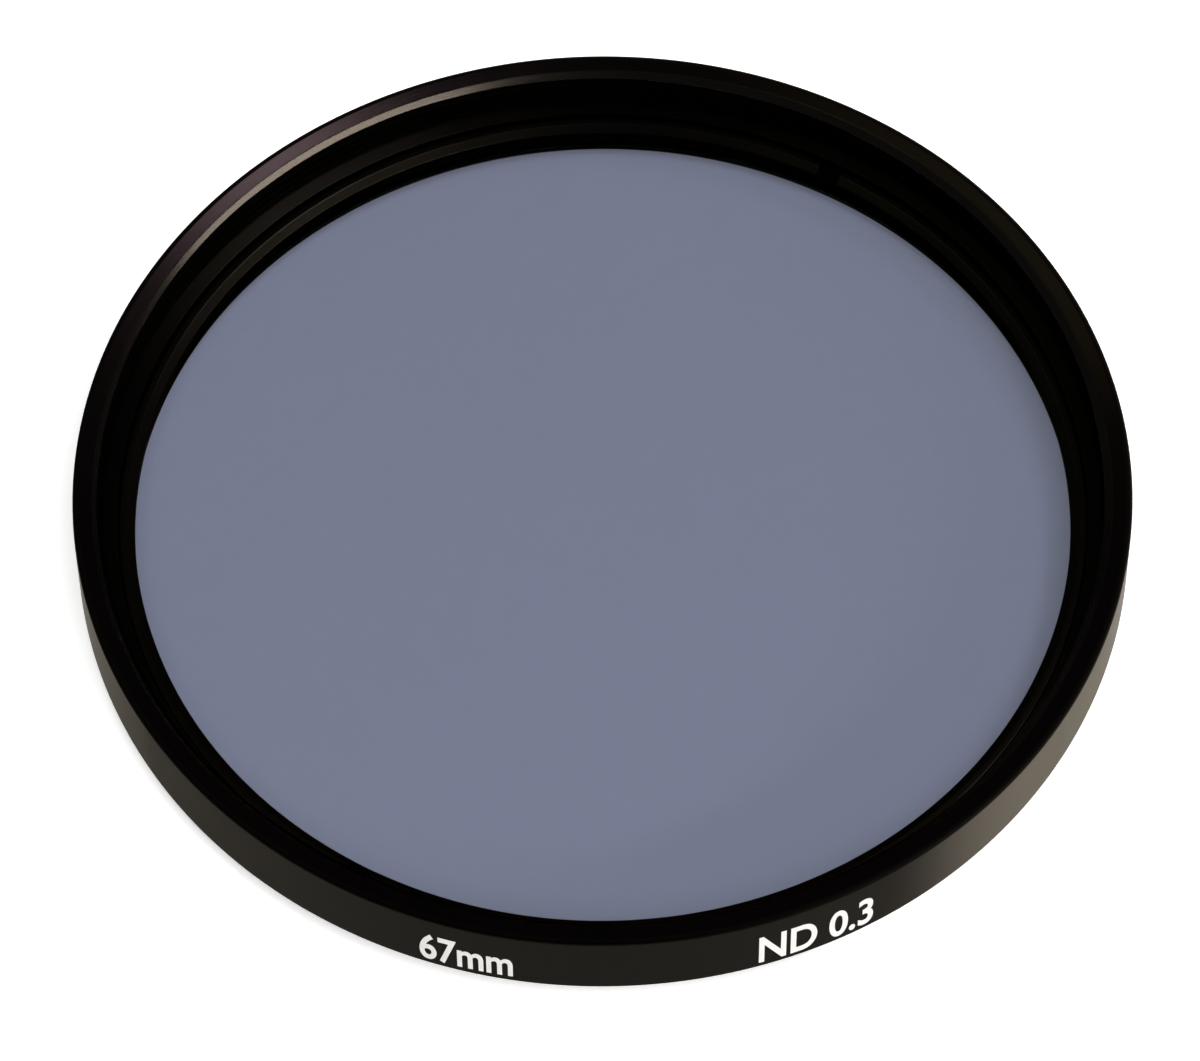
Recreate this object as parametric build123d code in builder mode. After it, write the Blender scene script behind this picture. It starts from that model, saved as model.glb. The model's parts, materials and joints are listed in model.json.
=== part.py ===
"""Screw-in lens filter: a turned ring with a thread at each end, a glass disc and the ring that holds it.

The axis is Z. The rear end of the male thread stands on Z = 0 and the front face is at the top. Millimetres.
The threads themselves are drawn as plain walls: the male one at its crests, the female one at its crests too.
"""

import os

from build123d import *

# Thread, the same nominal size at both ends
thread_diameter = 67.0
thread_pitch = 0.75
female_depth_per_pitch = 0.5413
male_depth_per_pitch = 0.6134

# Ring, outside
rim_height = 5.6
rim_wall = 1.5
rim_edge_break = 0.15
male_length = 2.5
male_lead_in = 0.35
male_relief_flat = 0.2
male_relief_flank = 0.3
male_relief_depth = 0.05
shoulder_clearance = 0.1

# Ring, inside
mouth_chamfer = 0.6
female_relief_width = 0.5
female_relief_depth = 0.05
ledge_width = 0.85
ledge_height = 0.3
lip_width = 0.8
lip_thickness = 0.5
recess_depth = 1.1
recess_wall = 0.75
recess_edge_break = 0.15

# Glass
glass_thickness = 2.0
glass_clearance = 0.1
glass_edge_break = 0.15

# Retaining ring
keeper_width = 1.1
keeper_thickness = 1.1
keeper_inner_thickness = 0.75
keeper_slope_width = 0.55
keeper_clearance = 0.05
keeper_edge_break = 0.12
slot_count = 2
slot_width = 1.6
slot_depth = 0.4
slot_angle = 60.0

# Radii
crest_radius = thread_diameter / 2
root_radius = crest_radius - male_depth_per_pitch * thread_pitch
bore_radius = crest_radius - female_depth_per_pitch * thread_pitch
rim_radius = crest_radius + rim_wall
pocket_radius = bore_radius - ledge_width
lip_radius = pocket_radius - lip_width
recess_radius = root_radius - recess_wall
male_relief_radius = root_radius - male_relief_depth
shoulder_radius = crest_radius + shoulder_clearance
female_relief_radius = crest_radius + female_relief_depth
glass_radius = pocket_radius - glass_clearance
keeper_radius = pocket_radius - keeper_clearance
keeper_hole_radius = keeper_radius - keeper_width

# Levels
shoulder_level = male_length
relief_top = shoulder_level - male_relief_flank
relief_bottom = relief_top - male_relief_flat
front_level = shoulder_level + rim_height
seat_level = recess_depth + lip_thickness
glass_top = seat_level + glass_thickness
keeper_top = glass_top + keeper_thickness
ledge_level = keeper_top + ledge_height

os.makedirs("parts", exist_ok=True)

# Ring: one turned section, up the outside and down the inside
with BuildPart() as filter_ring:
    with BuildSketch(Plane.XZ):
        with BuildLine():
            outside = Polyline(
                (recess_radius + recess_edge_break, 0),
                (crest_radius - male_lead_in, 0),
                (crest_radius, male_lead_in),
                (crest_radius, relief_bottom),
                (male_relief_radius, relief_bottom),
                (male_relief_radius, relief_top),
                (shoulder_radius, shoulder_level),
                (rim_radius - rim_edge_break, shoulder_level),
                (rim_radius, shoulder_level + rim_edge_break),
                (rim_radius, front_level - rim_edge_break),
                (rim_radius - rim_edge_break, front_level),
            )
            inside = Polyline(
                outside @ 1,
                (bore_radius + mouth_chamfer, front_level),
                (bore_radius, front_level - mouth_chamfer),
                (bore_radius, ledge_level + female_relief_width),
                (female_relief_radius, ledge_level + female_relief_width),
                (female_relief_radius, ledge_level),
                (pocket_radius, ledge_level),
                (pocket_radius, seat_level),
                (lip_radius, seat_level),
                (lip_radius, recess_depth),
                (recess_radius, recess_depth),
                (recess_radius, recess_edge_break),
                outside @ 0,
            )
        make_face()
    revolve(axis=Axis.Z)
filter_ring.part.label = "filter_ring"
export_step(filter_ring.part, "parts/filter_ring.step")

# Glass: a disc with both edges ground off, seated on the lip
with BuildPart() as filter_glass:
    with BuildSketch(Plane.XY.offset(seat_level)):
        Circle(glass_radius)
    extrude(amount=glass_thickness)
    chamfer(filter_glass.edges().filter_by(GeomType.CIRCLE), length=glass_edge_break)
filter_glass.part.label = "filter_glass"
export_step(filter_glass.part, "parts/filter_glass.step")

# Retaining ring: it screws into the pocket and bears on the glass, and its top slopes down to the clear opening
with BuildPart() as retaining_ring:
    with BuildSketch(Plane.XZ):
        with BuildLine():
            Polyline(
                (keeper_hole_radius, glass_top),
                (keeper_radius - keeper_edge_break, glass_top),
                (keeper_radius, glass_top + keeper_edge_break),
                (keeper_radius, keeper_top - keeper_edge_break),
                (keeper_radius - keeper_edge_break, keeper_top),
                (keeper_hole_radius + keeper_slope_width, keeper_top),
                (keeper_hole_radius, glass_top + keeper_inner_thickness),
                close=True,
            )
        make_face()
    revolve(axis=Axis.Z)
    # Slots for a pin spanner, across the whole width of the ring
    slot_length = 2 * keeper_width
    slot_middle = (keeper_radius + keeper_hole_radius) / 2
    with BuildSketch(Plane.XY.offset(keeper_top)):
        with PolarLocations(slot_middle, slot_count, start_angle=slot_angle):
            Rectangle(slot_length, slot_width)
    extrude(amount=-slot_depth, mode=Mode.SUBTRACT)
retaining_ring.part.label = "retaining_ring"
export_step(retaining_ring.part, "parts/retaining_ring.step")

for piece in (filter_ring.part, filter_glass.part, retaining_ring.part):
    box = piece.bounding_box()
    print(piece.label, "volume", round(piece.volume, 2), "from", tuple(box.min), "to", tuple(box.max))
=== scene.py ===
# %% [markdown]
# # A screw-in lens filter
# The part is a slim black ring with a male thread behind, a female thread in front, a grey glass disc and
# the small ring that holds the glass. The packed solids give every size and place. This lesson dresses
# them: it cuts the two threads that the solids leave plain, softens the turned edges, and gives the
# metal, the glass and the filled marking their finishes.

# %% Load the packed part
import json
import math

import bmesh
import bpy
import numpy as np
from mathutils import Matrix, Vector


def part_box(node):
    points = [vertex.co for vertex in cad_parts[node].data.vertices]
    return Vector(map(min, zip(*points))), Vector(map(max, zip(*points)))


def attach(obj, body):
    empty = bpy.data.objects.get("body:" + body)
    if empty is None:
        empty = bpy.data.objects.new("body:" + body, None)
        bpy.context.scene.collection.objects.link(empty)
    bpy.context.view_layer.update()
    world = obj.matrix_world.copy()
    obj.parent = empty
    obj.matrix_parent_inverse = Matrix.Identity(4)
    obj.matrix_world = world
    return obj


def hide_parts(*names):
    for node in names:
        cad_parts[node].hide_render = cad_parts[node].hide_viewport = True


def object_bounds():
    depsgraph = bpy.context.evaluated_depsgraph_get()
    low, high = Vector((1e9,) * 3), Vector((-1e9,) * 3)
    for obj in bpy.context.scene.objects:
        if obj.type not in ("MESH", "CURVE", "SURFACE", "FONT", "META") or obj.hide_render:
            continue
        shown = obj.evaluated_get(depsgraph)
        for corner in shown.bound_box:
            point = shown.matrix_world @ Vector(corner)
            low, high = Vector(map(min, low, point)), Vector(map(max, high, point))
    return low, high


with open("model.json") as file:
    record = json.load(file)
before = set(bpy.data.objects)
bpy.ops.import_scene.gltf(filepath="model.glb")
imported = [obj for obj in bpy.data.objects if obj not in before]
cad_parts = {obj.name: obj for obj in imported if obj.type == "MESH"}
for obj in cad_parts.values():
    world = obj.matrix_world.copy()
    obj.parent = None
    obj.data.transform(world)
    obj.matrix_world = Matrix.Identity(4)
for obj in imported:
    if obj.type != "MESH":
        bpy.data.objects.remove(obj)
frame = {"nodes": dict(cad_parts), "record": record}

cad_low, cad_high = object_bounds()
MM = 0.001
mounts = {mount["name"]: mount for mount in frame["record"]["mounts"]}
print("nodes", sorted(frame["nodes"]), "box", [round(x / MM, 3) for x in cad_high - cad_low])

# %% [markdown]
# ## The camera
# The photograph looks down on the ring from the front, through a long lens, so the far rim is hardly
# smaller than the near one. One way is to push the camera about until it looks right. Here the place is
# worked out: the rim's ellipse gives the elevation, the taper between near and far gives the distance,
# and the ellipse's width gives the lens. The camera stands on that line of sight, and it is aimed a
# little below the ring to frame it as the picture does, so that no lens shift is needed.

# %% Place the camera
IMAGE_WIDTH = 1200
IMAGE_HEIGHT = 1061
ELEVATION = math.radians(56.94)
ROLL = math.radians(0.567)
DISTANCE = 450 * MM
PIXELS_PER_MM = 15.15
SENSOR_WIDTH = 36.0
FRONT_CENTRE_PIXEL = (602.3, 481.4)


def unit(vector):
    """The vector divided by its own length."""
    return vector / np.linalg.norm(vector)


def place_camera():
    """A camera on the line of sight, with its axes from the elevation and the roll, aimed by the framing."""
    front_centre = np.array([0, 0, cad_high.z])
    sight = np.array([0, -math.cos(ELEVATION), math.sin(ELEVATION)])
    eye = front_centre + DISTANCE * sight
    level = np.array([1.0, 0, 0])
    upright = np.cross(sight, level)
    right = math.cos(ROLL) * level - math.sin(ROLL) * upright
    up = math.sin(ROLL) * level + math.cos(ROLL) * upright
    off_right = (FRONT_CENTRE_PIXEL[0] - IMAGE_WIDTH / 2) / PIXELS_PER_MM * MM
    off_up = (IMAGE_HEIGHT / 2 - FRONT_CENTRE_PIXEL[1]) / PIXELS_PER_MM * MM
    target = front_centre - off_right * right - off_up * up
    back = unit(eye - target)
    right = unit(right - back * (right @ back))
    up = np.cross(back, right)
    data = bpy.data.cameras.new("camera")
    data.sensor_fit = "HORIZONTAL"
    data.sensor_width = SENSOR_WIDTH
    data.lens = SENSOR_WIDTH * PIXELS_PER_MM * (DISTANCE / MM) / IMAGE_WIDTH
    data.clip_start = 10 * MM
    data.clip_end = 10.0
    camera = bpy.data.objects.new("camera", data)
    matrix = np.eye(4)
    matrix[:3, :4] = np.stack([right, up, back, eye], axis=1)
    camera.matrix_world = Matrix(matrix.tolist())
    bpy.context.scene.collection.objects.link(camera)
    bpy.context.scene.camera = camera
    return camera


camera = place_camera()
print("lens", round(camera.data.lens, 1), "mm, eye at", [round(x, 4) for x in camera.location])

# %% [markdown]
# ## Turned sections
# Everything here was made on a lathe, so every piece is one section carried round the Z axis. A plain
# spin of a polyline would leave razor edges, which no turned part has and which never catch the light. So
# each corner is first replaced by a small curve of five points. The outer two are spare: they keep the
# flat beside the curve truly flat when the normals are smoothed.

# %% Sections and spun skins
SOFT_EDGE = 0.05 * MM
CORNER_POINTS = 5
LARGEST_SHARE = 0.28
SPARE_REACH = 1.6


def soften(corners, reach):
    """Each corner C of a closed outline becomes the curve (1-s)^2 A + 2 s (1-s) C + s^2 B.

    A and B lie on the two sides, reach away from C, or a share of a short side. A spare point follows each.
    """
    corner = np.asarray(corners, float)
    to_last = np.roll(corner, 1, axis=0) - corner
    to_next = np.roll(corner, -1, axis=0) - corner
    length_last = np.linalg.norm(to_last, axis=1, keepdims=True)
    length_next = np.linalg.norm(to_next, axis=1, keepdims=True)
    cut = np.minimum(reach, LARGEST_SHARE * np.minimum(length_last, length_next))
    a = corner + to_last / length_last * cut
    b = corner + to_next / length_next * cut
    spare_a = corner + to_last / length_last * cut * SPARE_REACH
    spare_b = corner + to_next / length_next * cut * SPARE_REACH
    middle = 0.25 * a + 0.5 * corner + 0.25 * b
    return np.stack([spare_a, a, middle, b, spare_b], axis=1).reshape(-1, 2)


def arc(middle, size, start, end, steps):
    """Points middle + size (cos t, sin t) of a section, for t from start to end degrees."""
    t = np.radians(np.linspace(start, end, steps))
    return [(middle[0] + size * c, middle[1] + size * d) for c, d in zip(np.cos(t), np.sin(t))]


def refine(outline, longest):
    """Divides each run of a closed outline evenly, so that none is longer than its own entry of longest."""
    run = np.roll(outline, -1, axis=0) - outline
    count = np.maximum(1, np.ceil(np.linalg.norm(run, axis=1) / longest)).astype(int)
    first = np.repeat(np.arange(len(outline)), count)
    step = np.arange(count.sum()) - np.repeat(np.cumsum(count) - count, count)
    return outline[first] + run[first] * (step / count[first])[:, None]


def spin(radius, level, turn):
    """Points (r sin a, -r cos a, z) with a = 2 pi turn: a runs from the near side through the right."""
    angle = 2 * np.pi * turn
    return np.stack([radius * np.sin(angle), -radius * np.cos(angle), level + 0 * angle], axis=-1)


def skin(name, points):
    """A closed mesh on points[row, column], in which the rows meet themselves and so do the columns."""
    rows, columns = points.shape[:2]
    index = np.arange(rows * columns).reshape(rows, columns)
    beside = np.roll(index, -1, axis=1)
    quads = np.stack([index, beside, np.roll(beside, -1, axis=0), np.roll(index, -1, axis=0)], axis=-1)
    mesh = bpy.data.meshes.new(name)
    mesh.from_pydata(points.reshape(-1, 3).tolist(), [], quads.reshape(-1, 4).tolist())
    mesh.shade_smooth()
    piece = bpy.data.objects.new(name, mesh)
    bpy.context.scene.collection.objects.link(piece)
    return piece


def points_of(mesh):
    """All the points of a mesh, as rows of x, y and z."""
    place = np.zeros(len(mesh.vertices) * 3)
    mesh.vertices.foreach_get("co", place)
    return place.reshape(-1, 3)


def volume_of(piece):
    """The volume of a mesh in cubic millimetres: a sixth of the sum of a . (b x c) over its triangles."""
    mesh = piece.data
    mesh.calc_loop_triangles()
    corner = np.zeros(len(mesh.loop_triangles) * 3, int)
    mesh.loop_triangles.foreach_get("vertices", corner)
    a, b, c = np.moveaxis(points_of(mesh)[corner.reshape(-1, 3)], 1, 0)
    return float(np.einsum("ij,ij->i", a, np.cross(b, c)).sum() / 6 / MM**3)


print("corners softened over", round(SOFT_EDGE / MM, 3), "mm with", CORNER_POINTS, "points each")

# %% [markdown]
# ## The threaded ring
# The solid has plain walls where the real ring has its two threads, because a fine thread is a finish as
# far as the solid goes. A thread can be a swept triangle, but then its ends hang in the air. Here the
# wall itself moves in and out: at height z and turn t, the number z / pitch - t says how far away the
# nearest groove is, and the groove's two straight flanks follow from that. The wall takes whichever is
# deeper, its own section or the groove, so the thread runs out into the chamfer and the relief by itself,
# as it does under a threading tool.

# %% Sizes of the ring
PITCH = 0.75 * MM
MALE_DEPTH_PER_PITCH = 0.6134
FLANK = math.sqrt(3.0)
THREAD_START = 0.97
MARKING_ROOM = 0.02 * MM
EDGE_BREAK = 0.15 * MM
FRONT_ROUND = 0.18 * MM
FACE_MARGIN = 0.4 * MM
LEAD_IN = 0.35 * MM
MOUTH_CHAMFER = 0.6 * MM
RELIEF_DEPTH = 0.05 * MM
MALE_RELIEF_FLAT = 0.2 * MM
MALE_RELIEF_FLANK = 0.3 * MM
SHOULDER_CLEARANCE = 0.1 * MM
FEMALE_RELIEF = 0.5 * MM
LEDGE_HEIGHT = 0.3 * MM
LIP_WIDTH = 0.8 * MM
LIP_THICKNESS = 0.5 * MM
RECESS_WALL = 0.75 * MM
RECESS_BREAK = 0.15 * MM
KEEPER_CLEARANCE = 0.05 * MM
glass_low, glass_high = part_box("filter_glass")
keeper_low, keeper_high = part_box("retaining_ring")
rim_radius = cad_high.x
wall_radius = rim_radius - MARKING_ROOM
crest_radius = mounts["rear_thread"]["dims"]["r_mm"] * MM
bore_radius = mounts["front_thread"]["dims"]["r_mm"] * MM
root_radius = crest_radius - MALE_DEPTH_PER_PITCH * PITCH
pocket_radius = keeper_high.x + KEEPER_CLEARANCE
lip_radius = pocket_radius - LIP_WIDTH
recess_radius = root_radius - RECESS_WALL
male_relief_radius = root_radius - RELIEF_DEPTH
female_relief_radius = crest_radius + RELIEF_DEPTH
front_level = cad_high.z
shoulder_level = mounts["rear_shoulder"]["pos_m"][2]
relief_top = shoulder_level - MALE_RELIEF_FLANK
relief_bottom = relief_top - MALE_RELIEF_FLAT
ledge_level = keeper_high.z + LEDGE_HEIGHT
thread_foot = ledge_level + FEMALE_RELIEF
seat_level = glass_low.z
recess_level = seat_level - LIP_THICKNESS
print("radii in mm: wall", round(wall_radius / MM, 3), "crest", round(crest_radius / MM, 3),
      "bore", round(bore_radius / MM, 3), "pocket", round(pocket_radius / MM, 3))

# %% [markdown]
# The section goes up the outside and down the inside. Its rows stand close together along the threads,
# where the helix needs them, and each face is told which cut it lies on, so that every cut can have a
# finish of its own later.

# %% Cut the ring
RING_COLUMNS = 360
THREAD_ROW = 0.048 * MM
UNDIVIDED = 1.0
LEAST_CUT = SOFT_EDGE / 20


def ring_section():
    """The ring's closed section, up the outside and down the inside, as corners (radius, level)."""
    return [
        (recess_radius + RECESS_BREAK, 0),
        (crest_radius - LEAD_IN, 0),
        (crest_radius, LEAD_IN),
        (crest_radius, relief_bottom),
        (male_relief_radius, relief_bottom),
        (male_relief_radius, relief_top),
        (crest_radius + SHOULDER_CLEARANCE, shoulder_level),
        (wall_radius - EDGE_BREAK, shoulder_level),
        (wall_radius, shoulder_level + EDGE_BREAK),
        *arc((wall_radius - FRONT_ROUND, front_level - FRONT_ROUND), FRONT_ROUND, 0, 90, 5),
        (wall_radius - FACE_MARGIN, front_level),
        (bore_radius + MOUTH_CHAMFER, front_level),
        (bore_radius, front_level - MOUTH_CHAMFER),
        (bore_radius, thread_foot),
        (female_relief_radius, thread_foot),
        (female_relief_radius, ledge_level),
        (pocket_radius, ledge_level),
        (pocket_radius, seat_level),
        (lip_radius, seat_level),
        (lip_radius, recess_level),
        (recess_radius, recess_level),
        (recess_radius, RECESS_BREAK),
    ]


def groove_distance(level, turn):
    """How far a point lies along the axis from the middle of the nearest groove of a right-hand helix."""
    return np.abs((level / PITCH - turn - THREAD_START) % 1.0 - 0.5) * PITCH


def threaded_radius(radius, level, turn):
    """The section's radius with both threads cut into it.

    Female: the larger of the wall and crest - flank x (distance - pitch/16), above the relief at its foot.
    Male: the smaller of the wall and root + flank x (distance - half the root's flat), between its two ends.
    On the two end faces the cut fades with the radius, so that the rows there never meet.
    """
    away = groove_distance(level, turn)
    female_cut = crest_radius - FLANK * np.maximum(0, away - PITCH / 16)
    deep = np.maximum(female_cut - bore_radius, 0)
    fade = np.clip((female_relief_radius - radius) / (female_relief_radius - bore_radius), 0, 1)
    on_end = level < thread_foot + SOFT_EDGE
    female = np.where(on_end, radius + deep * fade, np.maximum(radius, female_cut))
    in_female = (level > thread_foot - SOFT_EDGE / 2) & (radius < crest_radius) & (level > shoulder_level)
    half_flat = PITCH * 7 / 16 - (crest_radius - root_radius) / FLANK
    male_cut = root_radius + FLANK * np.maximum(0, away - half_flat)
    run_in = np.clip((level - SOFT_EDGE) / (LEAD_IN / 2), 0, 1)
    shallow = np.maximum(crest_radius - male_cut, 0) * run_in
    thick = np.clip((radius - male_relief_radius) / (crest_radius - male_relief_radius), 0, 1)
    at_relief = level > relief_bottom - SOFT_EDGE
    male = np.where(at_relief, radius - shallow * thick, np.minimum(radius, crest_radius - shallow))
    in_male = (level < relief_bottom + SOFT_EDGE / 2) & (radius > male_relief_radius) & (level > 0)
    return np.where(in_female, female, np.where(in_male, male, radius))


RIM, FACE, MOUTH, LEDGE, INSIDE, SCREW = range(6)


def finish_rows(radius, level):
    """Which finish a point of the section has, from the corners that it lies between.

    The rim begins at nine tenths of the shoulder's clearance, just short of the shoulder's inner corner.
    """
    inner = radius < crest_radius + SHOULDER_CLEARANCE * 0.9
    screw = (level < shoulder_level) & (radius > recess_radius + RECESS_BREAK)
    # Painted shade, partly: all of the inside takes the dark matt finish.
    finish = np.where(inner, np.where(screw, SCREW, INSIDE), RIM)
    on_ledge = np.abs(level - ledge_level) < SOFT_EDGE / 2
    finish = np.where(on_ledge & (radius > pocket_radius) & (radius < bore_radius), LEDGE, finish)
    above = level > front_level - MOUTH_CHAMFER + SOFT_EDGE
    finish = np.where(above & (radius < bore_radius + MOUTH_CHAMFER + SOFT_EDGE / 4), MOUTH, finish)
    flat = level > front_level - SOFT_EDGE / 2
    face = flat & (radius > bore_radius + MOUTH_CHAMFER) & (radius < wall_radius - FACE_MARGIN)
    return np.where(face, FACE, finish)


def cut_ring():
    """The ring's skin: the softened section, with fine rows along the threads, carried round the axis."""
    outline = soften(ring_section(), SOFT_EDGE)
    middle = (outline + np.roll(outline, -1, axis=0)) / 2
    near_thread = np.abs(middle[:, 0] - crest_radius) < crest_radius - bore_radius + SOFT_EDGE
    outline = refine(outline, np.where(near_thread, THREAD_ROW, UNDIVIDED))
    middle = (outline + np.roll(outline, -1, axis=0)) / 2
    turn = np.arange(RING_COLUMNS) / RING_COLUMNS
    radius, level = outline[:, :1], outline[:, 1:]
    cut = threaded_radius(radius, level, turn)
    piece = skin("threaded_ring", spin(cut, level, turn))
    # Painted shade, partly: the faces of the female thread's grooves take the dark matt finish too, also where
    # they run into the mouth's chamfer.
    grooved = np.abs(cut - radius) > LEAST_CUT
    grooved = (grooved | np.roll(grooved, -1, axis=0)) & (middle[:, 1:] > shoulder_level)
    finish = np.where(grooved, INSIDE, finish_rows(middle[:, :1], middle[:, 1:]))
    piece.data.polygons.foreach_set("material_index", finish.ravel().astype(np.int32))
    return piece


ring = cut_ring()
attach(ring, "root")
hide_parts("filter_ring")
print("ring faces", len(ring.data.polygons), "volume", round(volume_of(ring), 1), "mm3")

# %% [markdown]
# ## The retaining ring
# A narrow ring, screwed down on the glass, sloping at its opening, and slotted twice, on one diameter,
# for a pin spanner. The slots could be cut with a boolean, which leaves a poor mesh behind. Instead the
# spun skin is pressed down where a slot lies: four columns stand close to the slot's two walls, and the
# rows above its floor sink to it.

# %% Cut the retaining ring
KEEPER_WIDTH = 1.1 * MM
KEEPER_INNER_THICKNESS = 0.75 * MM
KEEPER_SLOPE_WIDTH = 0.55 * MM
KEEPER_BREAK = 0.12 * MM
SLOT_WIDTH = 1.6 * MM
SLOT_DEPTH = 0.4 * MM
SLOT_TURNS = (150 / 360, 330 / 360)
SLOT_WALL = 0.01 * MM
SLOT_FLOOR_SHARE = 0.03
SHARP_ANGLE = math.radians(40)
keeper_radius = keeper_high.x
keeper_hole = keeper_radius - KEEPER_WIDTH


def keeper_section():
    """The retaining ring's closed section as corners (radius, level)."""
    return [
        (keeper_hole, keeper_low.z),
        (keeper_radius - KEEPER_BREAK, keeper_low.z),
        (keeper_radius, keeper_low.z + KEEPER_BREAK),
        (keeper_radius, keeper_high.z - KEEPER_BREAK),
        (keeper_radius - KEEPER_BREAK, keeper_high.z),
        (keeper_hole + KEEPER_SLOPE_WIDTH, keeper_high.z),
        (keeper_hole, keeper_low.z + KEEPER_INNER_THICKNESS),
    ]


TOP, WALL = range(2)


def cut_keeper():
    """The section spun, its columns crowded at the slots, where rows above a slot's floor sink almost to it."""
    outline = soften(keeper_section(), SOFT_EDGE)
    mean_radius = keeper_radius - KEEPER_WIDTH / 2
    edge = (SLOT_WIDTH / 2 + SLOT_WALL * np.array([-1, 1])) / (2 * np.pi * mean_radius)
    beside = np.concatenate([edge, -edge])
    even = np.arange(RING_COLUMNS) / RING_COLUMNS
    slot = np.array(SLOT_TURNS)
    turn = np.concatenate([even, (slot[:, None] + beside).ravel()])
    clear = np.abs(turn[:, None] - slot - beside[:, None, None]).min(axis=(0, 2)) > SLOT_WALL / mean_radius
    turn = np.sort(np.concatenate([even[clear[:RING_COLUMNS]], turn[RING_COLUMNS:]]))
    away = np.abs((turn[:, None] - slot + 0.5) % 1.0 - 0.5).min(axis=1) * 2 * np.pi * mean_radius
    floor = keeper_high.z - SLOT_DEPTH
    radius, level = outline[:, :1], outline[:, 1:]
    sunk = np.where(level > floor, floor + SLOT_FLOOR_SHARE * (level - floor), level)
    in_slot = away < SLOT_WIDTH / 2
    piece = skin("keeper_ring", spin(radius, np.where(in_slot, sunk, level), turn))
    middle = (outline + np.roll(outline, -1, axis=0)) / 2
    raised = middle[:, 1] > keeper_low.z + KEEPER_INNER_THICKNESS
    top = raised & (middle[:, 0] < keeper_radius - KEEPER_BREAK)
    slotted = in_slot | np.roll(in_slot, -1)
    # Painted shade, partly: the slots and the outer, lower and inner walls take the dark matt finish. Only the
    # top and the slope keep the turned one.
    finish = np.where(top[:, None] & ~slotted, TOP, WALL).ravel()
    piece.data.polygons.foreach_set("material_index", finish.astype(np.int32))
    piece.data.set_sharp_from_angle(angle=SHARP_ANGLE)
    return piece


keeper = cut_keeper()
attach(keeper, "root")
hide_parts("retaining_ring")
print("retaining ring faces", len(keeper.data.polygons), "volume", round(volume_of(keeper), 1), "mm3")

# %% [markdown]
# ## The glass
# A flat disc with a small ground bevel on both edges. The spun skin runs from the axis out along the rear
# face, round the edge, and back in along the front face. A row of points on the axis would all lie in one
# place, so the first and the last row give way to a single centre point each, and a fan of triangles
# closes the face round it.

# %% Grind the glass
GLASS_BREAK = 0.15 * MM
GLASS_COLUMNS = 256
FACE_ROWS = 12


def grind_glass():
    """The disc's half section, softened at its edge only, spun and closed on the axis."""
    edge = glass_high.x
    low, high = glass_low.z, glass_high.z
    corners = [
        (0, low),
        (edge - GLASS_BREAK, low),
        (edge, low + GLASS_BREAK),
        (edge, high - GLASS_BREAK),
        (edge - GLASS_BREAK, high),
        (0, high),
    ]
    around = soften(corners, SOFT_EDGE)[CORNER_POINTS:-CORNER_POINTS]
    inner = np.linspace(0, edge - 2 * GLASS_BREAK, FACE_ROWS)
    rear = np.stack([inner, np.full_like(inner, low)], axis=1)
    front = np.stack([inner[::-1], np.full_like(inner, high)], axis=1)
    outline = np.concatenate([rear, around, front])
    turn = np.arange(GLASS_COLUMNS) / GLASS_COLUMNS
    points = spin(outline[:, :1], outline[:, 1:], turn)
    rows = len(outline)
    body = points[1:-1].reshape(-1, 3)
    centres = np.array([[0, 0, low], [0, 0, high]])
    index = np.arange((rows - 2) * GLASS_COLUMNS).reshape(rows - 2, GLASS_COLUMNS)
    beside = np.roll(index, -1, axis=1)
    quads = np.stack([index[:-1], beside[:-1], beside[1:], index[1:]], axis=-1).reshape(-1, 4)
    rear_fan = np.stack([np.full(GLASS_COLUMNS, len(body)), beside[0], index[0]], axis=1)
    front_fan = np.stack([np.full(GLASS_COLUMNS, len(body) + 1), index[-1], beside[-1]], axis=1)
    mesh = bpy.data.meshes.new("glass_disc")
    faces = quads.tolist() + rear_fan.tolist() + front_fan.tolist()
    mesh.from_pydata(np.concatenate([body, centres]).tolist(), [], faces)
    mesh.shade_smooth()
    disc = bpy.data.objects.new("glass_disc", mesh)
    bpy.context.scene.collection.objects.link(disc)
    return disc


glass = grind_glass()
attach(glass, "root")
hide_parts("filter_glass")
print("glass faces", len(glass.data.polygons), "volume", round(volume_of(glass), 1), "mm3")

# %% [markdown]
# ## The marking
# Filters carry their thread size and their density on the rim, in white, and only these two are written.
# A flat text would stand off the curved wall, so the letters are first cut into narrow upright strips,
# and then every point is wrapped: its x becomes an angle round the axis, its y a height, and its z a
# radius. A word is written with the two angles, in degrees to the right of the near side, between which
# it stands.

# %% Write the marking
LETTER_FOOT = shoulder_level + 0.62 * MM
CAP_HEIGHT = 3.2 * MM
STRIP = 0.2 * MM
SUNK = 0.06 * MM
PROUD = 0.016 * MM
LETTER_WEIGHT = 0.02
WELD = 1e-5
MARKING = (("67mm", -20.0, -9.9), ("ND", 16.1, 22.6), ("0.3", 24.0, 29.2))


def flat_letters(words):
    """The words as a flat solid one unit thick, in strokes a little heavier than the typeface's own."""
    font = bpy.data.curves.new("letters", "FONT")
    font.body = words
    font.extrude = 0.5
    font.offset = LETTER_WEIGHT
    flat = bpy.data.objects.new("letters", font)
    bpy.context.scene.collection.objects.link(flat)
    bpy.context.view_layer.update()
    mesh = bpy.data.meshes.new_from_object(flat)
    bpy.data.objects.remove(flat)
    bpy.data.curves.remove(font)
    return mesh


def cut_strips(mesh, length):
    """Welds doubled points, and cuts the letters into upright strips.

    On the wall the word is length long, and each strip is STRIP wide there.
    """
    edit = bmesh.new()
    edit.from_mesh(mesh)
    bmesh.ops.remove_doubles(edit, verts=edit.verts, dist=WELD)
    edit.to_mesh(mesh)
    across = points_of(mesh)[:, 0]
    left, right = across.min(), across.max()
    for cut in np.arange(left, right, (right - left) * STRIP / length)[1:]:
        everything = edit.verts[:] + edit.edges[:] + edit.faces[:]
        bmesh.ops.bisect_plane(edit, geom=everything, plane_co=(cut, 0, 0), plane_no=(1, 0, 0))
    edit.to_mesh(mesh)
    edit.free()


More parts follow.
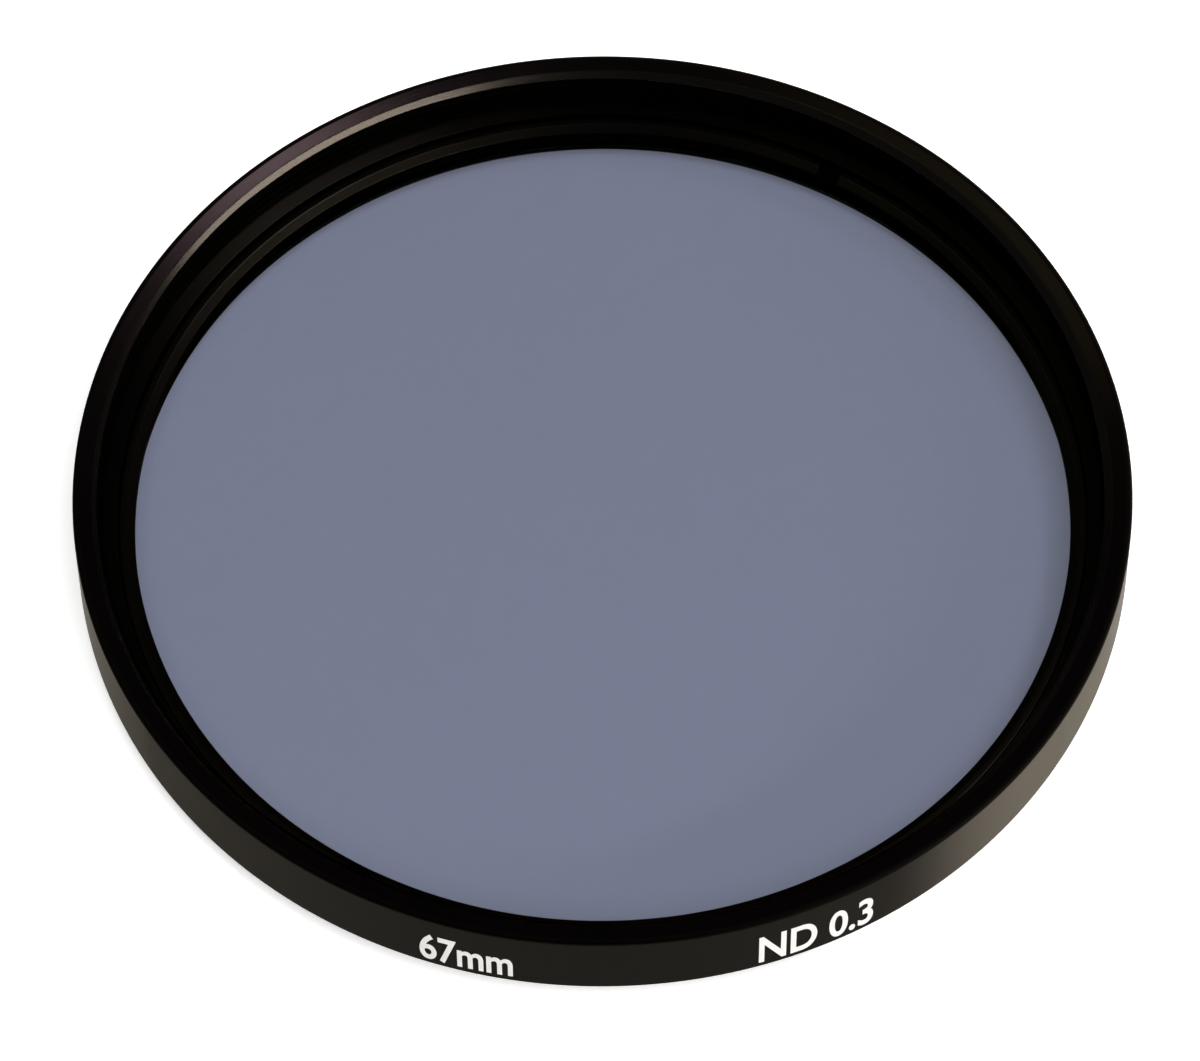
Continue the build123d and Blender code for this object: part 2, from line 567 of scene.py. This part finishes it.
def wrap_letters(mesh, start_degrees, end_degrees):
    """A letter's point, with x, y and z from 0 to 1 over the whole word, goes to its place on the wall.

    Its angle is start + x (end - start), its level foot + y cap, and its radius wall - sunk + z depth.
    """
    start, end = np.radians([start_degrees, end_degrees])
    cut_strips(mesh, (end - start) * rim_radius)
    share = points_of(mesh) - points_of(mesh).min(axis=0)
    share = share / share.max(axis=0)
    radius = wall_radius - SUNK + share[:, 2] * (SUNK + PROUD)
    turn = (start + share[:, 0] * (end - start)) / (2 * np.pi)
    wrapped = spin(radius, LETTER_FOOT + share[:, 1] * CAP_HEIGHT, turn)
    mesh.vertices.foreach_set("co", wrapped.ravel())
    mesh.update()


def join_letters(name, meshes):
    """All the words as one piece."""
    edit = bmesh.new()
    for mesh in meshes:
        edit.from_mesh(mesh)
        bpy.data.meshes.remove(mesh)
    joined = bpy.data.meshes.new(name)
    edit.to_mesh(joined)
    edit.free()
    piece = bpy.data.objects.new(name, joined)
    bpy.context.scene.collection.objects.link(piece)
    return piece


def write_marking():
    """Each word made flat, wrapped on the rim, and joined to the others."""
    meshes = []
    for words, start, end in MARKING:
        mesh = flat_letters(words)
        wrap_letters(mesh, start, end)
        meshes.append(mesh)
    return join_letters("rim_marking", meshes)


marking = write_marking()
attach(marking, "root")
print("marking faces", len(marking.data.polygons), "volume", round(volume_of(marking), 3), "mm3")

# %% [markdown]
# ## Finishes as sums
# A finish is a small sum: a bit of turning marks, a bit of grain, a mask where an edge is ground. Node
# editors hide such a sum in a web of boxes. The class below wraps one output socket, and every plus or
# times on it adds the Math node that does it, so a finish can be read as the formula that it is.

# %% A socket that can be added and multiplied
class Wire:
    """One output socket of a node tree, or the tree alone, on which sums can be written."""

    def __init__(self, tree, socket=None):
        self.tree = tree
        self.socket = socket

    def node(self, kind, settings=None, inputs=None, output=0):
        """Adds a node: its settings first, then numbers or wires on its sockets, by name or place."""
        made = self.tree.nodes.new(kind)
        for name, value in (settings or {}).items():
            setattr(made, name, value)
        for name, value in (inputs or {}).items():
            if isinstance(value, Wire):
                self.tree.links.new(value.socket, made.inputs[name])
            else:
                made.inputs[name].default_value = value
        return Wire(self.tree, made.outputs[output])

    def math(self, operation, *values):
        """A Math node on this wire and up to two more values."""
        return self.node("ShaderNodeMath", {"operation": operation}, dict(enumerate(values)))

    def __add__(self, other):
        return self.math("ADD", self, other)

    def __radd__(self, other):
        return self.math("ADD", other, self)

    def __sub__(self, other):
        return self.math("SUBTRACT", self, other)

    def __rsub__(self, other):
        return self.math("SUBTRACT", other, self)

    def __mul__(self, other):
        return self.math("MULTIPLY", self, other)

    def __rmul__(self, other):
        return self.math("MULTIPLY", other, self)

    def root(self):
        """The square root."""
        return self.math("SQRT", self)

    def mix(self, first, second):
        """A colour between two colours, by this wire."""
        return self.node("ShaderNodeMix", {"data_type": "RGBA"}, {0: self, 6: first, 7: second}, 2)

    def ramp(self, low, high):
        """0 at low, 1 at high, smooth between."""
        settings = {"interpolation_type": "SMOOTHSTEP"}
        return self.node("ShaderNodeMapRange", settings, {0: self, 1: low, 2: high})


def new_finish(name, **constants):
    """A material with one Principled shader and its constants: (material, its tree as a wire, the shader)."""
    material = bpy.data.materials.new(name)
    material.use_nodes = True
    tree = material.node_tree
    tree.nodes.clear()
    shader = tree.nodes.new("ShaderNodeBsdfPrincipled")
    output = tree.nodes.new("ShaderNodeOutputMaterial")
    tree.links.new(shader.outputs[0], output.inputs["Surface"])
    for socket, value in constants.items():
        shader.inputs[socket.replace("_", " ")].default_value = value
    return material, Wire(tree), shader


def feed(shader, **wires):
    """Links each wire to the shader's socket of that name."""
    for socket, wire in wires.items():
        wire.tree.links.new(wire.socket, shader.inputs[socket.replace("_", " ")])


print("a wire offers", [name for name in vars(Wire) if not name.startswith("_")])

# %% [markdown]
# ## Black anodised aluminium
# The ring was turned, so very fine lines run round it on every face, and then it was dyed black, which
# leaves a satin skin with a warm tinge. The lines are noise along one number, radius plus height in
# millimetres: on a face the radius changes, on a wall the height does, so the same sum gives rings on the
# one and hoops on the other. The lines also spread a highlight across themselves, which the shader's
# anisotropy does, turned a quarter because its own direction runs round the axis.
#
# One finish for all would be simpler, but the tool, the polish and the wear differ from cut to cut. So
# the outer wall, the front face, the chamfer of the mouth, the ledge, the matt inside, the screw and the
# top of the retaining ring each have their own. The matt inside, also on the thread grooves and on the
# walls and slots of the retaining ring, is far darker than the rest: this is partly its finish and partly
# painted shade. On the front face the marks lean inwards, so that it shines in one place only: a bump that
# grows with the radius does that. A little sheen lights the outer wall, and the grazing tint holds back the
# white glare that plain metal would show where it is seen edge on.

# %% Anodise the two rings
GRAZING_TINT = (0.47, 0.435, 0.36, 1)
FACE_LEAN = math.tan(math.radians(19.5))
MICROMETRE = 0.001
MARKS_PER_MM = 14.0
SPECKLE_SCALE = 16000.0
CLOUD_SCALE = 120.0
CLOUD_SHARE = 0.6
MARKS_ROUGHNESS = 0.12
CLOUD_ROUGHNESS = 0.08


def anodised(name, dark, light, roughness, lines, grain, turned, lean=0.0, grazing=GRAZING_TINT, **constants):
    """A dyed, turned aluminium skin.

    Dark and light bound its colour, lines and grain are bump heights in micrometres, and turned is the
    anisotropy. Lean is the slope, inward, of turning marks that are too fine to draw one by one. Lengths in
    the sums are millimetres.
    """
    material, tree, shader = new_finish(
        name, Metallic=1.0, Specular_Tint=grazing, Anisotropic=turned, Anisotropic_Rotation=0.25, **constants
    )
    place = tree.node("ShaderNodeTexCoord", output=3)
    x = tree.node("ShaderNodeSeparateXYZ", None, {0: place}, 0)
    y = tree.node("ShaderNodeSeparateXYZ", None, {0: place}, 1)
    z = tree.node("ShaderNodeSeparateXYZ", None, {0: place}, 2)
    radius = (x * x + y * y).root() * (1 / MM)
    along = radius + z * (1 / MM)
    one = {"noise_dimensions": "1D"}
    marks = tree.node("ShaderNodeTexNoise", one, {"W": along, "Scale": MARKS_PER_MM, "Detail": 3.0})
    speckle = tree.node("ShaderNodeTexNoise", None, {"Vector": place, "Scale": SPECKLE_SCALE, "Detail": 2.0})
    cloud = tree.node("ShaderNodeTexNoise", None, {"Vector": place, "Scale": CLOUD_SCALE, "Detail": 2.0})
    height = marks * (lines * MICROMETRE) + speckle * (grain * MICROMETRE) + radius * lean
    bump = tree.node("ShaderNodeBump", None, {"Strength": 1.0, "Distance": MM, "Height": height})
    feed(
        shader,
        Base_Color=(cloud * CLOUD_SHARE + speckle * (1 - CLOUD_SHARE)).mix(dark, light),
        Roughness=roughness + (marks - 0.5) * MARKS_ROUGHNESS + (cloud - 0.5) * CLOUD_ROUGHNESS,
        Normal=bump,
    )
    return material


satin_rim = anodised(
    "satin_rim",
    dark=(0.003, 0.0025, 0.0016, 1),
    light=(0.007, 0.006, 0.0042, 1),
    roughness=0.36,
    lines=0.5,
    grain=0.3,
    turned=0.3,
    grazing=(0.27, 0.25, 0.206, 1),
    Sheen_Weight=0.12,
    Sheen_Roughness=0.4,
    Sheen_Tint=(1, 0.9, 0.76, 1),
)
turned_face = anodised(
    "turned_face",
    dark=(0.02, 0.014, 0.0147, 1),
    light=(0.032, 0.0224, 0.0236, 1),
    roughness=0.25,
    lines=0.5,
    grain=0.2,
    turned=0.4,
    lean=FACE_LEAN,
)
cut_mouth = anodised(
    "cut_mouth",
    dark=(0.058, 0.05, 0.043, 1),
    light=(0.076, 0.066, 0.057, 1),
    roughness=0.24,
    lines=0.3,
    grain=0.2,
    turned=0.0,
    grazing=(0.3, 0.28, 0.25, 1),
)
turned_ledge = anodised(
    "turned_ledge",
    dark=(0.013, 0.011, 0.009, 1),
    light=(0.028, 0.024, 0.019, 1),
    roughness=0.4,
    lines=0.5,
    grain=0.2,
    turned=0.9,
)
# Painted shade, partly: this matt finish is far darker than the rest of the ring. It lies on the inside, the
# thread grooves and the retaining ring's walls and slots.
matt_inside = anodised(
    "matt_inside",
    dark=(0.001, 0.0009, 0.0006, 1),
    light=(0.003, 0.0026, 0.002, 1),
    roughness=0.55,
    lines=0.5,
    grain=0.3,
    turned=0.0,
)
turned_keeper = anodised(
    "turned_keeper",
    dark=(0.015, 0.013, 0.01, 1),
    light=(0.028, 0.0245, 0.0185, 1),
    roughness=0.33,
    lines=0.5,
    grain=0.2,
    turned=0.3,
)
cut_screw = anodised(
    "cut_screw",
    dark=(0.035, 0.031, 0.026, 1),
    light=(0.055, 0.049, 0.042, 1),
    roughness=0.32,
    lines=0.4,
    grain=0.2,
    turned=0.0,
)
for finish in (satin_rim, turned_face, cut_mouth, turned_ledge, matt_inside, cut_screw):
    ring.data.materials.append(finish)
for finish in (turned_keeper, matt_inside):
    keeper.data.materials.append(finish)
print("ring finishes", [finish.name for finish in ring.data.materials])
print("retaining ring finishes", [finish.name for finish in keeper.data.materials])

# %% [markdown]
# ## White filling
# The marking is engraved and filled with white enamel, a little uneven where the filling was wiped. One
# soft noise does both: it shifts the tone and the roughness together, and raises the surface by two
# micrometres.

# %% Fill the marking
WIPE_SCALE = 2500.0


def white_filling():
    """Off-white enamel with a faint uneven tone."""
    material, tree, shader = new_finish("white_filling")
    place = tree.node("ShaderNodeTexCoord", output=3)
    wiped = tree.node("ShaderNodeTexNoise", None, {"Vector": place, "Scale": WIPE_SCALE, "Detail": 3.0})
    height = wiped * (2 * MICROMETRE)
    bump = tree.node("ShaderNodeBump", None, {"Strength": 1.0, "Distance": MM, "Height": height})
    feed(
        shader,
        Base_Color=wiped.mix((0.74, 0.735, 0.72, 1), (0.84, 0.835, 0.82, 1)),
        Roughness=0.4 + wiped * 0.2,
        Normal=bump,
    )
    return material


marking.data.materials.append(white_filling())
print("filled", marking.data.materials[0].name)

# %% [markdown]
# ## Neutral grey glass
# The glass passes about a third of the light, a bit more of the blue. Lying on something white it looks
# far darker, because the light crosses it twice, down to the table and up again. The shader's own colour
# is what one crossing leaves. The rays that go from the table to a lamp would stop at the glass, and so
# would those that gather the light lying about. For these two kinds alone the disc is a clear tinted
# pane, and as they pass its front and its rear, each takes the square root of the tint. The edge is
# ground, not polished, and a mask on the radius says where.

# %% Tint the glass
ONE_CROSSING = (0.324, 0.346, 0.432, 1)
PALER = 1.01
MELT_SCALE = 60.0
GROUND_FROM = 0.35
GROUND_TO = 0.2
GROUND_ROUGHNESS = 0.45


def tinted_glass():
    """Smooth tinted glass with a ground edge, through which lamps shine in the same tint.

    The edge grows rough between two distances, in millimetres, from the rim of the disc.
    """
    material, tree, shader = new_finish("grey_glass", IOR=1.52, Transmission_Weight=1.0)
    place = tree.node("ShaderNodeTexCoord", output=3)
    x = tree.node("ShaderNodeSeparateXYZ", None, {0: place}, 0)
    y = tree.node("ShaderNodeSeparateXYZ", None, {0: place}, 1)
    radius = (x * x + y * y).root() * (1 / MM)
    edge = glass_high.x / MM
    ground = radius.ramp(edge - GROUND_FROM, edge - GROUND_TO)
    melt = tree.node("ShaderNodeTexNoise", None, {"Vector": place, "Scale": MELT_SCALE, "Detail": 1.0})
    paler = tuple(min(1.0, c * PALER) for c in ONE_CROSSING)
    feed(shader, Base_Color=melt.mix(ONE_CROSSING, paler), Roughness=ground * GROUND_ROUGHNESS)
    one_face = tuple(math.sqrt(c) for c in ONE_CROSSING)
    pane = tree.node("ShaderNodeBsdfTransparent", None, {"Color": one_face})
    shadow_ray = tree.node("ShaderNodeLightPath", output=1)
    gathering_ray = tree.node("ShaderNodeLightPath", output=2)
    body = Wire(tree.tree, shader.outputs[0])
    both = tree.node("ShaderNodeMixShader", None, {0: shadow_ray + gathering_ray, 1: body, 2: pane})
    output = next(node for node in tree.tree.nodes if node.type == "OUTPUT_MATERIAL")
    tree.tree.links.new(both.socket, output.inputs["Surface"])
    return material


glass.data.materials.append(tinted_glass())
print("glass tint for one crossing", ONE_CROSSING[:3])

# %% [markdown]
# ## Floor and light
# The filter lies on a white table. The floor is a plain white surface that keeps the ring's shadow, with
# some glow of its own for the rays that the camera sends, straight, mirrored by the metal or through the
# glass, so that white reads as white. A ray through smooth glass counts as mirrored too, so the mask
# takes it out of the mirrored ones.
#
# Two lamps are kept out of the metal's reflections: a broad one above the camera, which lights the table
# and the marking, and a small one low on the right, which only skims the outer wall. Three are there to
# be mirrored: a key lamp high on the right, in the far left of the front face, a weak one high on the
# left, in the far right of it, and a long strip low on the right, which draws the bright line on the
# chamfer of the mouth. The world stays dim, so that the rest of the metal stays black.

# %% Lay the floor and hang the lamps
FLOOR_SIDE = 3.0
FLOOR_DROP = 0.005 * MM
SEEN_GLOW = 0.5
THROUGH_GLOW = 0.265
WORLD_LEVEL = 0.05


def lay_floor():
    """A white square just under the ring, with a glow for camera, mirrored and transmitted rays."""
    half = FLOOR_SIDE / 2
    mesh = bpy.data.meshes.new("floor")
    corners = [(-half, -half, -FLOOR_DROP), (half, -half, -FLOOR_DROP), (half, half, -FLOOR_DROP)]
    mesh.from_pydata(corners + [(-half, half, -FLOOR_DROP)], [], [(0, 1, 2, 3)])
    floor = bpy.data.objects.new("floor", mesh)
    bpy.context.scene.collection.objects.link(floor)
    material, tree, shader = new_finish(
        "white_floor",
        Base_Color=(0.9, 0.9, 0.9, 1),
        Roughness=0.9,
        Specular_IOR_Level=0.0,
        Emission_Strength=1.0,
    )
    seen = tree.node("ShaderNodeLightPath", output=0)
    through = tree.node("ShaderNodeLightPath", output=6)
    mirrored = tree.node("ShaderNodeLightPath", output=3) * (1 - through)
    strength = (seen + mirrored) * SEEN_GLOW + through * THROUGH_GLOW
    feed(shader, Emission_Color=strength.mix((0, 0, 0, 1), (1, 1, 1, 1)))
    mesh.materials.append(material)
    return floor


def hang_lamp(name, place, size, power, colour=(1, 1, 1), long_way=(0, 0, 1)):
    """A rectangular lamp at place, facing the filter: size is (width, height), the height along long_way."""
    data = bpy.data.lights.new(name, "AREA")
    data.shape = "RECTANGLE"
    data.size, data.size_y = size
    data.energy = power
    data.color = colour
    lamp = bpy.data.objects.new(name, data)
    back = unit(np.array(place, float))
    side = unit(np.cross(long_way, back))
    matrix = np.eye(4)
    matrix[:3, :4] = np.stack([side, np.cross(back, side), back, np.array(place, float)], axis=1)
    lamp.matrix_world = Matrix(matrix.tolist())
    bpy.context.scene.collection.objects.link(lamp)
    return lamp


def light_world(level):
    """A dim even world."""
    world = bpy.data.worlds.new("studio")
    world.use_nodes = True
    world.node_tree.nodes["Background"].inputs["Color"].default_value = (level, level, level, 1)
    bpy.context.scene.world = world


lay_floor()
light_world(WORLD_LEVEL)
main = hang_lamp("main", (0.07, -0.32, 0.75), (0.5, 0.5), 6.6, long_way=(0, 1, 0))
main.visible_glossy = False
low_side = hang_lamp("low_side", (0.643, 0.386, 0.04), (0.1, 0.06), 22.0, (1.0, 0.96, 0.9))
low_side.visible_glossy = False
hang_lamp("key", (0.329, 0.068, 0.781), (0.2, 0.2), 1.0, (1.0, 0.97, 0.98), (0, 1, 0))
hang_lamp("upper_left", (-0.366, 0.10, 0.757), (0.22, 0.6), 0.2, (0.86, 1.0, 0.5), (0.32, -0.877, 0.355))
hang_lamp("right_low", (0.573, -0.385, 0.405), (0.06, 0.82), 2.0, (1.0, 0.95, 0.9), (0.6, 0.762, -0.244))

# %% [markdown]
# ## Last things
# The picture is shown as it is rendered, with no filmic curve.

# %% Finish
bpy.context.scene.view_settings.view_transform = "Standard"
